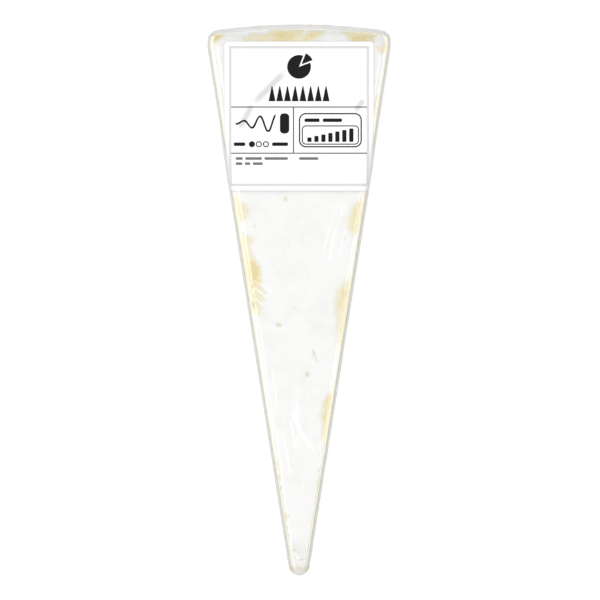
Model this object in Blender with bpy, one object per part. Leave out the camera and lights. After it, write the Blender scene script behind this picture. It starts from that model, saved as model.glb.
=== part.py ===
"""A wedge of brie as a shop sells it: one twentieth of a large wheel, shut tight in clear film, with a
square paper label that folds down over the film's long edges.

The pack lies flat. Its round heel is at +Y, its point at -Y and its label on top. Lengths are in metres.
The origin is in the middle of the pack's base.
"""

import math

import bmesh
import bpy
from mathutils import Vector

MM = 0.001

# The wheel, and the piece cut from it
WHEEL_RADIUS = 180 * MM
CUT_HALF_ANGLE = math.radians(9)

# The film that closes round the piece
PACK_LENGTH = 171.5 * MM
PACK_HEIGHT = 32.4 * MM
FILM_STANDOFF = 1.1 * MM
HEEL_CORNER = 4.2 * MM
POINT_CORNER = 3.1 * MM
LEAST_CORNER = 0.7 * MM

# How far the edges are rounded, over the top and under the base, and how far soft paste swells the walls
HEEL_EDGE = {"top": 6.5 * MM, "base": 4.5 * MM, "belly": 0.6 * MM}
CUT_EDGE = {"top": 2.7 * MM, "base": 1.6 * MM, "belly": 0.8 * MM}
POINT_EDGE = {"top": 1.8 * MM, "base": 1.2 * MM, "belly": 0.2 * MM}

# The low swells of the rind under the film
SWELL_HEIGHT = 0.28 * MM
SWELL_LENGTH = 31 * MM
SWELL_WIDTH = 17 * MM

# The label
LABEL_SIDE = 46.5 * MM
LABEL_MIDDLE_Y = 57.2 * MM
LABEL_THICKNESS = 0.3 * MM
LABEL_GAP = 0.3 * MM
LABEL_CORNER = 1.0 * MM
LABEL_FOLD_ZONE = 10 * MM

# How finely the faces are divided
POINT_ARC_STEPS = 5
POINT_FLAT_STEPS = 2
HEEL_ARC_STEPS = 3
HEEL_STEPS = 6
CUT_STEPS = 34
EDGE_TURN_STEPS = 4
HEEL_TURN_STEPS = 2
WALL_STEPS = 4
LABEL_ROWS = 18
LABEL_FLAT_COLUMNS = 8
LABEL_FOLD_COLUMNS = 9

WHEEL_CENTRE_Y = PACK_LENGTH / 2 - FILM_STANDOFF - WHEEL_RADIUS
QUARTER_TURN = math.pi / 2


def spaced(start, end, steps):
    """Evenly spaced values from start to end, with both ends."""
    return [start + (end - start) * i / steps for i in range(steps + 1)]


def mix(a, b, share):
    return a + (b - a) * share


def turned(angle):
    return Vector((math.cos(angle), math.sin(angle)))


# Shape of the pack


def wall_inset(z, edge):
    """How far the wall stands inside the pack's widest line, at height z."""
    from_top = PACK_HEIGHT - z
    radius, reach = (edge["top"], from_top) if from_top < z else (edge["base"], z)
    rounding = 0.0
    if reach < radius:
        rounding = radius - math.sqrt(max(radius**2 - (radius - reach) ** 2, 0.0))
    return rounding + edge["belly"] * (1 - math.sin(math.pi * z / PACK_HEIGHT))


def cut_line(z):
    """(half angle, offset) of the cut wall at height z: the line leans by the angle from +Y, and the wheel's
    centre lies the offset inside it. The wall's edges grow rounder from the point to the heel, so the line
    turns a little with the height."""
    near_x, near_y = cut_point(0.0, FILM_STANDOFF - wall_inset(z, POINT_EDGE))
    far_x, far_y = cut_point(WHEEL_RADIUS, FILM_STANDOFF - wall_inset(z, CUT_EDGE))
    angle = math.atan2(far_x - near_x, far_y - near_y)
    offset = near_x * math.cos(angle) - (near_y - WHEEL_CENTRE_Y) * math.sin(angle)
    return angle, offset


def cut_point(along, out):
    """The plan position `along` the right cut face from the wheel's centre, and `out` of that face."""
    sin, cos = math.sin(CUT_HALF_ANGLE), math.cos(CUT_HALF_ANGLE)
    return along * sin + out * cos, WHEEL_CENTRE_Y + along * cos - out * sin


def wall_x(y, z):
    """Half the pack's width at y and height z, away from its ends."""
    angle, offset = cut_line(z)
    return ((y - WHEEL_CENTRE_Y) * math.sin(angle) + offset) / math.cos(angle)


def swell(x, y):
    """The height that the uneven rind adds to the top."""
    along = math.sin(y / SWELL_LENGTH * math.tau / 2 + 0.7) + 0.6 * math.sin(y / SWELL_LENGTH * math.tau + 2.1)
    return SWELL_HEIGHT * (0.5 * along + 0.5 * math.cos(x / SWELL_WIDTH * math.pi + y / SWELL_LENGTH))


def lifted(x, y, z):
    """The point with the top's swells added. They fade out down the walls."""
    share = max(0.0, (z / PACK_HEIGHT - 0.6) / 0.4)
    return Vector((x, y, z + swell(x, y) * share))


def right_half(z):
    """(point side, cut side, heel side) of the right half of the outline at height z. Each side ends in the
    middle of a rounded corner."""
    angle, offset = cut_line(z)
    sin, cos = math.sin(angle), math.cos(angle)
    centre = Vector((0, WHEEL_CENTRE_Y))
    along, out = Vector((sin, cos)), Vector((cos, -sin))

    point_radius = max(POINT_CORNER - wall_inset(z, POINT_EDGE), LEAST_CORNER)
    point_y = wall_inset(z, POINT_EDGE) - PACK_LENGTH / 2
    inside = offset - point_radius
    reach = (point_y + point_radius - WHEEL_CENTRE_Y + inside * sin) / cos
    point_centre = centre + along * reach + out * inside

    heel_radius = max(HEEL_CORNER - wall_inset(z, CUT_EDGE), LEAST_CORNER)
    rim = WHEEL_RADIUS + FILM_STANDOFF - wall_inset(z, HEEL_EDGE)
    inside = offset - heel_radius
    reach = math.sqrt((rim - heel_radius) ** 2 - inside**2)
    heel_centre = centre + along * reach + out * inside
    rim_angle = math.atan2(heel_centre.y - centre.y, heel_centre.x)

    point_turns = spaced(-QUARTER_TURN, -angle, 2 * POINT_ARC_STEPS)
    point_arc = [point_centre + point_radius * turned(a) for a in point_turns]
    heel_turns = spaced(-angle, rim_angle, 2 * HEEL_ARC_STEPS)
    heel_arc = [heel_centre + heel_radius * turned(a) for a in heel_turns]
    middle = Vector((0, point_y))
    flat = [middle.lerp(point_arc[0], s) for s in spaced(0, 1, POINT_FLAT_STEPS // 2)]
    wall = [point_arc[-1].lerp(heel_arc[0], s) for s in spaced(0, 1, CUT_STEPS)]
    heel = [centre + rim * turned(a) for a in spaced(rim_angle, QUARTER_TURN, HEEL_STEPS // 2)]
    return (
        flat + point_arc[1 : POINT_ARC_STEPS + 1],
        point_arc[POINT_ARC_STEPS:-1] + wall + heel_arc[1 : HEEL_ARC_STEPS + 1],
        heel_arc[HEEL_ARC_STEPS:-1] + heel,
    )


def mirrored(points):
    return [Vector((-p.x, p.y)) for p in points]


def outline(z):
    """(point side, right side, heel side, left side) at height z. The ends run from left to right, and the
    long sides from the point to the heel."""
    point, cut, heel = right_half(z)
    return (
        mirrored(point[:0:-1]) + point,
        cut,
        mirrored(heel[:-1]) + heel[::-1],
        mirrored(cut),
    )


def patch(point, right, heel, left):
    """Rows of points that fill the outline: the sum of the two ways of joining opposite sides, less the
    straight-sided figure between the corners."""
    rows = []
    for j in range(len(left)):
        v = j / (len(left) - 1)
        row = []
        for i in range(len(point)):
            u = i / (len(point) - 1)
            ends = mix(point[i], heel[i], v)
            sides = mix(left[j], right[j], u)
            corners = mix(mix(point[0], point[-1], u), mix(heel[0], heel[-1], u), v)
            row.append(ends + sides - corners)
        rows.append(row)
    return rows


def loop_of(rows):
    """The border of a patch, once round, anticlockwise seen from above."""
    return (
        rows[0]
        + [row[-1] for row in rows[1:]]
        + rows[-1][-2::-1]
        + [row[0] for row in rows[-2:0:-1]]
    )


def heights():
    """The heights of the rings between base and top, closer together where the edges turn."""
    levels = []
    for end in ("base", "top"):
        turns = spaced(0, QUARTER_TURN, EDGE_TURN_STEPS)[1:]
        small = [CUT_EDGE[end] * (1 - math.cos(a)) for a in turns]
        large = spaced(CUT_EDGE[end], HEEL_EDGE[end], HEEL_TURN_STEPS)[1:]
        levels.append(small + large)
    base, top = levels
    walls = spaced(base[-1], PACK_HEIGHT - top[-1], WALL_STEPS)[1:-1]
    return base + walls + [PACK_HEIGHT - h for h in reversed(top)]


def add_patch(bm, rows, facing_up):
    for low, high in zip(rows, rows[1:]):
        for i in range(len(low) - 1):
            corners = [low[i], low[i + 1], high[i + 1], high[i]]
            bm.faces.new(corners if facing_up else corners[::-1])


def join_loops(bm, lower, upper):
    """Walls between two closed loops of as many points."""
    for i, corner in enumerate(lower):
        after = (i + 1) % len(lower)
        bm.faces.new((corner, lower[after], upper[after], upper[i]))


def pack_mesh():
    """The outside of the film: a flat base, rings up the walls, and a top with low swells."""
    bm = bmesh.new()
    base = [[bm.verts.new((p.x, p.y, 0)) for p in row] for row in patch(*outline(0.0))]
    top = [
        [bm.verts.new(lifted(p.x, p.y, PACK_HEIGHT)) for p in row]
        for row in patch(*outline(PACK_HEIGHT))
    ]
    loops = [loop_of(base)]
    for z in heights():
        point, right, heel, left = outline(z)
        ring = point + right[1:] + heel[-2::-1] + left[-2:0:-1]
        loops.append([bm.verts.new(lifted(p.x, p.y, z)) for p in ring])
    loops.append(loop_of(top))
    for lower, upper in zip(loops, loops[1:]):
        join_loops(bm, lower, upper)
    add_patch(bm, base, facing_up=False)
    add_patch(bm, top, facing_up=True)
    return bm


# The label, laid over the film


def heel_drop(x, y):
    """How far the film has curved down towards the heel at this place on the top."""
    radius = HEEL_EDGE["top"]
    flat_rim = WHEEL_RADIUS + FILM_STANDOFF - HEEL_EDGE["belly"] - radius
    past = math.hypot(x, y - WHEEL_CENTRE_Y) - flat_rim
    return radius - math.sqrt(radius**2 - past**2) if past > 0 else 0.0


def draped(across, y, lift):
    """The place that lies `across` from the middle of the pack, measured over the film's surface, and `lift`
    outside it. Past the flat top it turns round the cut edge and runs down the wall."""
    along = (y - WHEEL_CENTRE_Y) / WHEEL_RADIUS
    radius = mix(POINT_EDGE["top"], CUT_EDGE["top"], along)
    beyond = max(abs(across) - wall_x(y, PACK_HEIGHT), 0.0)
    turn = min(beyond / radius, QUARTER_TURN)
    down = max(beyond - radius * QUARTER_TURN, 0.0)
    z = PACK_HEIGHT - radius * (1 - math.cos(turn)) - down
    x = abs(across) if turn == 0 else wall_x(y, z)
    at = lifted(x, y, z)
    at.z += lift * math.cos(turn) - heel_drop(x, y) * math.cos(turn)
    at.x += lift * math.sin(turn)
    at.x = math.copysign(at.x, across)
    return at


def label_columns():
    """Distances across the label, closer together where it folds over the pack's edges."""
    half = LABEL_SIDE / 2
    fold = half - LABEL_FOLD_ZONE
    return (
        spaced(-half, -fold, LABEL_FOLD_COLUMNS)[:-1]
        + spaced(-fold, fold, LABEL_FLAT_COLUMNS)
        + spaced(fold, half, LABEL_FOLD_COLUMNS)[1:]
    )


def corner_trim(across, up):
    """Pulls a point of the square label in to its rounded corner."""
    reach = LABEL_SIDE / 2 - LABEL_CORNER
    past = Vector((max(abs(across) - reach, 0.0), max(abs(up) - reach, 0.0)))
    if past.x > 0 and past.y > 0 and past.length > LABEL_CORNER:
        past *= LABEL_CORNER / past.length
    inner = Vector((min(abs(across), reach), min(abs(up), reach))) + past
    return math.copysign(inner.x, across), math.copysign(inner.y, up)


def label_mesh():
    """The label: two like faces, one over the other, and the rim that joins them."""
    bm = bmesh.new()
    half = LABEL_SIDE / 2
    edge_rows = [half - LABEL_CORNER * 0.3, half]
    rows_up = [-h for h in reversed(edge_rows)] + spaced(-half + LABEL_CORNER, half - LABEL_CORNER, LABEL_ROWS)
    rows_up += edge_rows
    faces = []
    for lift in (LABEL_GAP, LABEL_GAP + LABEL_THICKNESS):
        rows = []
        for up in rows_up:
            places = [corner_trim(across, up) for across in label_columns()]
            rows.append([bm.verts.new(draped(a, LABEL_MIDDLE_Y + u, lift)) for a, u in places])
        faces.append(rows)
    under, over = faces
    add_patch(bm, under, facing_up=False)
    add_patch(bm, over, facing_up=True)
    join_loops(bm, loop_of(under), loop_of(over))
    return bm


# Objects and their finish


def finish(name, colour, roughness, metallic=0.0):
    material = bpy.data.materials.new(name)
    material.use_nodes = True
    shader = material.node_tree.nodes["Principled BSDF"]
    shader.inputs["Base Color"].default_value = (*colour, 1)
    shader.inputs["Roughness"].default_value = roughness
    shader.inputs["Metallic"].default_value = metallic
    return material


def add_object(name, bm, material):
    mesh = bpy.data.meshes.new(name)
    bm.to_mesh(mesh)
    bm.free()
    mesh.shade_smooth()
    mesh.set_sharp_from_angle(angle=math.radians(40))
    mesh.materials.append(material)
    made = bpy.data.objects.new(name, mesh)
    bpy.context.scene.collection.objects.link(made)
    return made


def main():
    for old in list(bpy.data.objects):
        bpy.data.objects.remove(old)
    wrapped = finish("wrapped_brie", (0.93, 0.92, 0.86), 0.35)
    paper = finish("label_paper", (0.97, 0.97, 0.97), 0.5)
    add_object("wrapped_brie", pack_mesh(), wrapped)
    add_object("paper_label", label_mesh(), paper)


main()
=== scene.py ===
"""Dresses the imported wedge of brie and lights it.

The solid wrapped_brie is replaced by the cheese and the clear film that shuts round it, and the solid
paper_label by a thin printed label that follows the film. Lengths are in metres, colours are linear.
"""

import math
import random
from collections import namedtuple

import bpy
import numpy as np
from bpy.props import FloatProperty, FloatVectorProperty, PointerProperty
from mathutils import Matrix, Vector, noise
from mathutils.bvhtree import BVHTree


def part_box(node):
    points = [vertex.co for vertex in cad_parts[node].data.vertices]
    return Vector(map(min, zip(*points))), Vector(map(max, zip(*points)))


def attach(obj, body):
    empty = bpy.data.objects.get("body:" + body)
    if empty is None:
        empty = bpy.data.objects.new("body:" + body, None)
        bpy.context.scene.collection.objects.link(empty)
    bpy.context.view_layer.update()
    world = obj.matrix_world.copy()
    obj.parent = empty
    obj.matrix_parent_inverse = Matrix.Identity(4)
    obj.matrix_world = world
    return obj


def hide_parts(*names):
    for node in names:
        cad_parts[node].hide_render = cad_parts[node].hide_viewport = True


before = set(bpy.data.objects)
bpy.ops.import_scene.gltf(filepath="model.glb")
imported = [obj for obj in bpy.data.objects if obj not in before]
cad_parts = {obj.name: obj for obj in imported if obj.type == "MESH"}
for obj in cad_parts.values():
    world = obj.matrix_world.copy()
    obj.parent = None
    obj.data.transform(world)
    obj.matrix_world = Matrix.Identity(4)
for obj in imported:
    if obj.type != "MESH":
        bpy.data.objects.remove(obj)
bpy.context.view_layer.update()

bl_info = {
    "name": "Wrapped brie wedge",
    "version": (1, 0, 0),
    "blender": (4, 5, 0),
    "location": "3D View > Sidebar > Brie",
    "description": "Builds a wedge of brie in clear film, its label and a small studio",
    "category": "Object",
}

MM = 0.001
PACK_LOW, PACK_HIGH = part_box("wrapped_brie")
LABEL_LOW, LABEL_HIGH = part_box("paper_label")
LABEL_SIDE = LABEL_HIGH.y - LABEL_LOW.y
LABEL_MIDDLE_Y = (LABEL_HIGH.y + LABEL_LOW.y) / 2
WHEEL_RADIUS = 180 * MM
# The y beyond which the top counts as the heel's
HEEL_START = 77 * MM


def from_srgb(red, green, blue):
    """The linear colour that a screen shows as these three numbers from 0 to 255."""
    shares = [c / 255 for c in (red, green, blue)]
    return tuple(c / 12.92 if c <= 0.04045 else ((c + 0.055) / 1.055) ** 2.4 for c in shares)


def colour(name, description, default):
    return FloatVectorProperty(
        name=name,
        description=description,
        subtype="COLOR",
        min=0,
        max=1,
        default=default,
    )


def length(name, description, default):
    return FloatProperty(
        name=name,
        description=description,
        subtype="DISTANCE",
        unit="LENGTH",
        precision=5,
        default=default,
    )


class CheeseSettings(bpy.types.PropertyGroup):
    """Sizes and colours of the cheese."""

    side_gap: length("Side gap", "How far the cheese's walls stand inside the film", 0.1 * MM)
    top_gap: length("Top gap", "How far the rind lies under the film", 0.14 * MM)
    bulge: length("Bulge", "How far the film bulges out from the flat cut faces", 0.8 * MM)
    grain: length("Grain", "Size of the mesh's faces", 0.6 * MM)
    rind_thickness: length("Rind thickness", "Width of the white line along a cut face", 1.9 * MM)
    top_rounding: length("Top rounding", "Radius of the wheel's upper rim", 6.5 * MM)
    base_rounding: length("Base rounding", "Radius of the wheel's lower rim", 4.5 * MM)
    bare_edge: length("Bare edge", "Width of the bare cut edge beside the rind on top", 1.15 * MM)
    rind: colour("Rind", "White bloom", from_srgb(236, 236, 235))
    rind_shade: colour("Rind shade", "Thinner bloom", from_srgb(225, 226, 221))
    pale_butter: colour("Pale butter", "Rind that is just worn", from_srgb(225, 223, 208))
    butter: colour("Butter", "Paste that shows through worn rind", from_srgb(229, 222, 190))
    deep_butter: colour("Deep butter", "Middle of a worn patch", from_srgb(222, 207, 153))
    # Painted shade on the paste deep in the holes
    hole_shade: colour("Hole shade", "Paste deep in a hole", from_srgb(222, 203, 150))
    # Painted shadow under the label's bottom edge and painted shade at the point
    shade: colour("Shade", "Rind beside the label's edge and at the point", from_srgb(150, 150, 146))
    blemish: colour("Blemish", "Small marks in the rind", from_srgb(210, 208, 188))
    # Worn yellow rind on the top's bare edge, painted brighter than the worn patches on top as a highlight
    # along the edge
    rim_butter_and_highlight: colour("Rim butter", "Worn rind on the cut edge", from_srgb(249, 238, 200))
    low_rim: colour("Low rim", "The cut edge towards the point", from_srgb(231, 229, 218))
    # The rind's own white where a cut goes through it, and a painted highlight: the bare band along the top's
    # edges is painted this near-white
    cut_rind_and_edge_highlight: colour("Cut rind", "The rind where the knife went through it", from_srgb(253, 252, 243))
    paste: colour("Paste", "Inside of the cheese", from_srgb(242, 233, 200))
    paste_deep: colour("Ripe paste", "Paste close under the rind", from_srgb(238, 227, 190))


class FilmSettings(bpy.types.PropertyGroup):
    """Sizes and colours of the film."""

    grain: length("Grain", "Size of the mesh's faces", 0.6 * MM)
    outset: length("Outset", "Makes up for what smoothing takes off the film", 0.34 * MM)
    ripple_height: length("Ripple height", "Height of the slight ripples in the film", 0.02 * MM)
    ring_width: length("Ring width", "Width of the grey line round the top", 0.95 * MM)
    edge: colour("Edge", "The film gathered along the top's edge", from_srgb(208, 208, 206))
    # Painted shadow: a darker line on the gathered film where it meets the cheese
    gap_shadow_line: colour("Edge line", "Where the gathered film meets the cheese", from_srgb(189, 187, 179))
    edge_bright: colour("Edge bright", "The gathered film's inner side", from_srgb(236, 232, 217))
    tip: colour("Tip", "The film gathered round the point", from_srgb(198, 193, 176))
    slack: colour("Slack", "Film that stands off the heel", from_srgb(203, 203, 204))
    shine: FloatProperty(name="Shine", description="Roughness of the film", default=0.09, min=0, max=1)


class LabelSettings(bpy.types.PropertyGroup):
    """Sizes and colours of the label."""

    grain: length("Grain", "Size of the mesh's faces", 0.5 * MM)
    thickness: length("Thickness", "Thickness of the label", 0.06 * MM)
    gap: length("Gap", "How far the label lies above the film", 0.06 * MM)
    paper: colour("Paper", "Bare paper", from_srgb(236, 236, 236))
    # Painted shade along the label's soft folds
    fold_shade: colour("Fold shade", "Paper along a soft fold", from_srgb(203, 203, 204))
    # Painted shade on the paper turned down over the long edges
    turned_shade: colour("Turned shade", "Paper turned down over the long edges", from_srgb(196, 196, 198))
    frame_ink: colour("Frame ink", "Wide pale line round the label", from_srgb(203, 203, 203))
    line_ink: colour("Line ink", "Thin lines between the fields", from_srgb(60, 60, 60))
    small_ink: colour("Small ink", "Small print", from_srgb(110, 110, 110))
    black_ink: colour("Black ink", "Solid print", from_srgb(16, 16, 16))


class StageSettings(bpy.types.PropertyGroup):
    """The camera, the lights and the floor."""

    camera_height: length("Camera height", "Height of the camera above the floor", 3.0)
    lens: FloatProperty(name="Lens", description="Focal length in millimetres", default=572.6)
    horizon: FloatProperty(name="Horizon", description="Brightness of the room near the floor", default=0.33)
    zenith: FloatProperty(name="Zenith", description="Brightness that the room gains up high", default=0.93)
    floor: colour("Floor", "The floor's colour", from_srgb(252, 252, 252))
    floor_glow: FloatProperty(name="Floor glow", description="Light from the floor itself", default=0.2)


# Shader sums


class Wire:
    """A shader socket in an expression. Each operator adds one Math node."""

    def __init__(self, socket):
        self.socket = socket

    def math(self, operation, *others):
        return add_node(self.socket.id_data, "Math", {"operation": operation}, (self, *others))

    def math_after(self, operation, other):
        """The same with the other value first."""
        return add_node(self.socket.id_data, "Math", {"operation": operation}, (other, self))

    def __add__(self, other):
        return self.math("ADD", other)

    __radd__ = __add__

    def __sub__(self, other):
        return self.math("SUBTRACT", other)

    def __rsub__(self, other):
        return self.math_after("SUBTRACT", other)

    def __mul__(self, other):
        return self.math("MULTIPLY", other)

    __rmul__ = __mul__

    def __truediv__(self, other):
        return self.math("DIVIDE", other)

    def __rtruediv__(self, other):
        return self.math_after("DIVIDE", other)

    def __lt__(self, other):
        return self.math("LESS_THAN", other)

    def __gt__(self, other):
        return self.math("GREATER_THAN", other)

    def rise(self, low, high):
        """0 below low and 1 above high, smooth in between. High may be the lower one."""
        clamped = {"interpolation_type": "SMOOTHSTEP", "clamp": True}
        return add_node(self.socket.id_data, "MapRange", clamped, {"Value": self, 1: low, 2: high})


def add_node(tree, kind, settings=None, sockets=(), output=0):
    """Adds a shader node: its settings first, then a value or a link for each socket. Returns one output."""
    node = tree.nodes.new("ShaderNode" + kind)
    for name, value in (settings or {}).items():
        setattr(node, name, value)
    pairs = sockets.items() if isinstance(sockets, dict) else enumerate(sockets)
    for key, value in pairs:
        if isinstance(value, Wire):
            tree.links.new(value.socket, node.inputs[key])
        elif hasattr(value, "__len__"):
            spare = len(node.inputs[key].default_value) - len(value)
            node.inputs[key].default_value = (*value, *[1] * spare)
        else:
            node.inputs[key].default_value = value
    return Wire(node.outputs[output]) if node.outputs else None


def blend(tree, share, first, second):
    """The first colour where share is 0 and the second where it is 1."""
    return add_node(tree, "Mix", {"data_type": "RGBA"}, {0: share, 6: first, 7: second}, 2)


def together(masks):
    """The highest of these masks or heights."""
    total = masks[0]
    for mask in masks[1:]:
        total = total.math("MAXIMUM", mask)
    return total


def read_field(tree, name):
    """The number that write_field gave each point of the mesh under this name."""
    return add_node(tree, "Attribute", {"attribute_name": name}, output=2)


def axis_of(tree, vector, axis):
    """One number of a vector: 0, 1 or 2 for x, y or z."""
    return add_node(tree, "SeparateXYZ", {}, (vector,), axis)


def cloud(tree, place, size, detail=3.0, stretch=(1, 1, 1), roughness=0.55):
    """Noise from 0 to 1 that changes over `size` metres."""
    at = add_node(tree, "VectorMath", {"operation": "MULTIPLY"}, (place, tuple(s / size for s in stretch)))
    sockets = {"Vector": at, "Scale": 1.0, "Detail": detail, "Roughness": roughness}
    return add_node(tree, "TexNoise", {}, sockets)


def new_material(name):
    material = bpy.data.materials.new(name)
    material.use_nodes = True
    material.node_tree.nodes.clear()
    return material, material.node_tree


def surface(tree, shader):
    add_node(tree, "OutputMaterial", {}, {"Surface": shader})


# Mesh helpers


def new_object(name, data):
    made = bpy.data.objects.new(name, data)
    bpy.context.scene.collection.objects.link(made)
    return made


def read_points(mesh, kind="co"):
    """One row for each vertex: its place, or its normal."""
    found = np.empty(len(mesh.vertices) * 3, np.float32)
    mesh.vertices.foreach_get(kind, found)
    return found.reshape(-1, 3).astype(float)


def move_points(mesh, points):
    mesh.vertices.foreach_set("co", points.astype(np.float32).ravel())
    mesh.update()


def write_field(mesh, name, values):
    field = mesh.attributes.new(name, "FLOAT", "POINT")
    field.data.foreach_set("value", values.astype(np.float32))


def rippled(points, size, seed, octaves=1):
    """Smooth noise, about -1 to 1, at each point. It changes over `size`, a length or one for each axis."""
    at = points / np.asarray(size) + seed
    if octaves == 1:
        return np.array([noise.noise(p) for p in at])
    return np.array([noise.fractal(p, 0.9, 2.0, octaves) for p in at])


def smooth(values):
    """0 below 0 and 1 above 1, with a soft rise in between."""
    held = np.clip(values, 0, 1)
    return held * held * (3 - 2 * held)


def mix(a, b, share):
    return a + (b - a) * share


def remeshed_pack(name, grain):
    """A new object with the wrapped solid's form, in even faces of about `grain`."""
    piece = new_object(name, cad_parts["wrapped_brie"].data.copy())
    piece.data.materials.clear()
    voxels = piece.modifiers.new("even_faces", "REMESH")
    voxels.mode = "VOXEL"
    voxels.voxel_size = grain
    curves = piece.modifiers.new("smooth_curves", "SMOOTH")
    curves.factor = 0.5
    curves.iterations = 4
    evaluated = piece.evaluated_get(bpy.context.evaluated_depsgraph_get())
    mesh = bpy.data.meshes.new_from_object(evaluated)
    piece.modifiers.clear()
    piece.data = mesh
    return piece


def from_wheel_centre(points):
    """(distance, angle from +Y) of each point from the axis of the wheel that the wedge was cut from."""
    side_gap = bpy.context.scene.brie_cheese.side_gap
    ahead = points[:, 1] - (PACK_HIGH.y - side_gap - WHEEL_RADIUS)
    return np.hypot(points[:, 0], ahead), np.arctan2(points[:, 0], ahead)


def finish_piece(piece, material, node):
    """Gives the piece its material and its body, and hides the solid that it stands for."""
    piece.data.materials.append(material)
    piece.data.shade_smooth()
    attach(piece, "root")
    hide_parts(node)


# The cheese

# A patch on the pack's top, in millimetres: how wide its edge fades, how strong it is, and its corners
Patch = namedtuple("Patch", "fade strength corners")

WORN_PATCHES = (
    Patch(0.8, 0.6, [(-20.8, 34.4), (-18.3, 30.9), (-16.3, 29.8), (-15.3, 28.4), (-16.2, 26.4), (-17.1, 24.2),
                     (-18.8, 23.8), (-20.8, 26.8)]),
    Patch(0.9, 0.62, [(-18.4, 29.5), (-16.7, 28.3), (-17.2, 25.8), (-18.2, 26.4)]),
    Patch(1.2, 0.6, [(-19.0, 22.4), (-15.9, 20.1), (-14.1, 19.2), (-14.0, 18.0), (-15.1, 16.8), (-14.3, 14.8),
                     (-13.3, 12.8), (-12.3, 9.8), (-12.1, 7.0), (-11.0, 4.2), (-9.8, 2.0), (-10.5, 0.5),
                     (-11.4, -0.5), (-12.1, -2.3), (-12.1, -4.7), (-14.4, -4.5), (-15.6, -0.2), (-16.8, 6.1),
                     (-18.4, 15.5)]),
    Patch(1.6, 1.35, [(-15.4, 13.3), (-13.8, 12.3), (-12.7, 10.5), (-12.3, 7.3), (-12.1, 4.8), (-13.6, 4.2),
                     (-15.0, 7.0), (-16.0, 10.5)]),
    Patch(1.4, 0.74, [(-13.5, 4.8), (-11.7, 4.5), (-9.9, 2.0), (-10.7, 0.2), (-12.0, -0.5), (-13.2, 1.7)]),
    Patch(1.0, 0.74, [(-18.6, 17.9), (-16.3, 17.0), (-14.5, 7.7), (-12.6, -4.2), (-15.2, -4.4),
                     (-17.2, 7.7)]),
    Patch(1.4, 0.68, [(21.8, 34.8), (18.6, 30.8), (16.6, 29.2), (15.8, 26.8), (15.2, 24.4), (15.4, 22.4),
                      (16.6, 20.4), (18.7, 20.0), (20.0, 23.0), (21.0, 28.0)]),
    Patch(1.2, 0.9, [(16.8, 28.6), (18.5, 29.2), (18.0, 24.8), (17.1, 22.0), (16.3, 24.2)]),
    Patch(1.6, 0.74, [(17.6, 8.6), (14.7, 5.5), (12.9, 3.8), (11.8, 2.3), (11.3, -0.5), (11.0, -3.7),
                     (11.7, -5.6), (11.8, -8.5), (12.2, -11.7), (12.5, -13.3), (12.7, -17.4), (14.8, -16.4),
                      (15.6, -11.1), (16.8, -1.7)]),
    Patch(1.8, 0.82, [(12.6, 3.1), (16.1, 6.5), (15.9, 0.5), (13.7, -5.8), (12.4, -2.0)]),
    Patch(1.0, 0.8, [(10.2, -28.4), (8.0, -30.9), (7.2, -33.2), (6.8, -35.8), (7.0, -38.1), (7.2, -39.6),
                      (7.0, -41.9), (7.2, -44.4), (10.0, -43.9), (11.2, -38.9), (12.5, -30.4)]),
    Patch(1.3, 0.95, [(7.0, -34.2), (8.4, -31.0), (9.6, -33.6), (8.8, -37.6), (7.2, -38.4)]),
    Patch(0.8, 1.3, [(-28.2, 80.4), (-27.6, 82.5), (-25.8, 83.1), (-23.6, 82.8), (-23.1, 82.1), (-24.6, 81.3),
                     (-25.7, 80.2), (-27.4, 79.7)]),
    Patch(0.8, 0.72, [(-17.7, 79.2), (-17.5, 81.7), (-14.7, 82.8), (-10.3, 82.8), (-9.3, 83.7), (-5.5, 84.8),
                      (-2.3, 84.8), (0.8, 84.1), (2.4, 82.9), (3.7, 83.9), (8.2, 83.8), (7.8, 83.0),
                      (6.0, 81.4), (3.3, 80.1), (3.3, 79.2)]),
    Patch(1.0, 0.9, [(-10.1, 79.2), (-9.2, 82.6), (-5.7, 84.2), (-2.6, 83.9), (-0.7, 82.3), (-1.0, 79.2)]),
    Patch(0.8, 0.85, [(-0.4, 79.2), (0.5, 82.3), (2.4, 82.2), (4.0, 83.3), (7.1, 83.3), (5.2, 81.5),
                      (2.4, 80.3), (2.1, 79.2)]),
    Patch(0.8, 0.66, [(12.6, 84.0), (14.3, 82.3), (16.0, 79.2), (23.3, 79.2), (23.8, 81.7), (24.9, 82.5),
                      (28.0, 82.3), (28.0, 83.6), (24.0, 84.3), (15.8, 84.7)]),
    Patch(0.8, 0.95, [(15.5, 82.3), (20.8, 82.8), (23.0, 82.0), (22.7, 79.2), (16.5, 79.2)]),
    Patch(0.7, 0.7, [(24.0, 78.9), (26.1, 79.2), (26.8, 81.1), (26.5, 82.9), (28.2, 82.9), (28.2, 77.0),
                     (24.6, 76.9)]),
    Patch(0.9, 0.4, [(26.3, 78.6), (28.0, 78.6), (27.1, 56.7), (25.7, 56.7)]),
    Patch(0.8, 0.7, [(24.0, 63.6), (25.2, 64.2), (25.1, 56.1), (23.3, 55.5)]),
)

# A soft spot on the pack's top, in millimetres: its middle, its half width and half length, how far it leans
# from the pack's length in degrees, and how strong it is
Blot = namedtuple("Blot", "x y wide long lean strength")

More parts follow.
